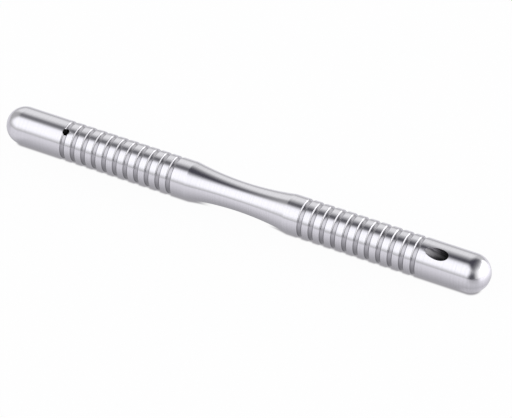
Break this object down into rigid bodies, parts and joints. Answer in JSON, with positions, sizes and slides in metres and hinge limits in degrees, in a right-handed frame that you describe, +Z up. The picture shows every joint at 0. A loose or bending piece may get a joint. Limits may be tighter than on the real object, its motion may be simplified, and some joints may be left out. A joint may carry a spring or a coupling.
{
  "type": "turned grip bar",
  "caption": "Slim solid turned aluminium bar with domed ends, ring-grooved halves, a narrowed waist, a slanted cord hole near one end and a small cross hole near the other.",
  "frame": {"origin": "middle of the bar, on its axis", "axes": "+X along the bar towards the end with the slanted cord hole, +Z up as the bar lies on its side, with both holes opening 28 degrees from +Z towards -Y"},
  "size_m": [0.22, 0.016, 0.016],
  "materials": {
    "turned_aluminium": "finely turned and polished"
  },
  "bodies": {
    "root": {"grip_bar": "turned_aluminium"}
  },
  "joints": []
}
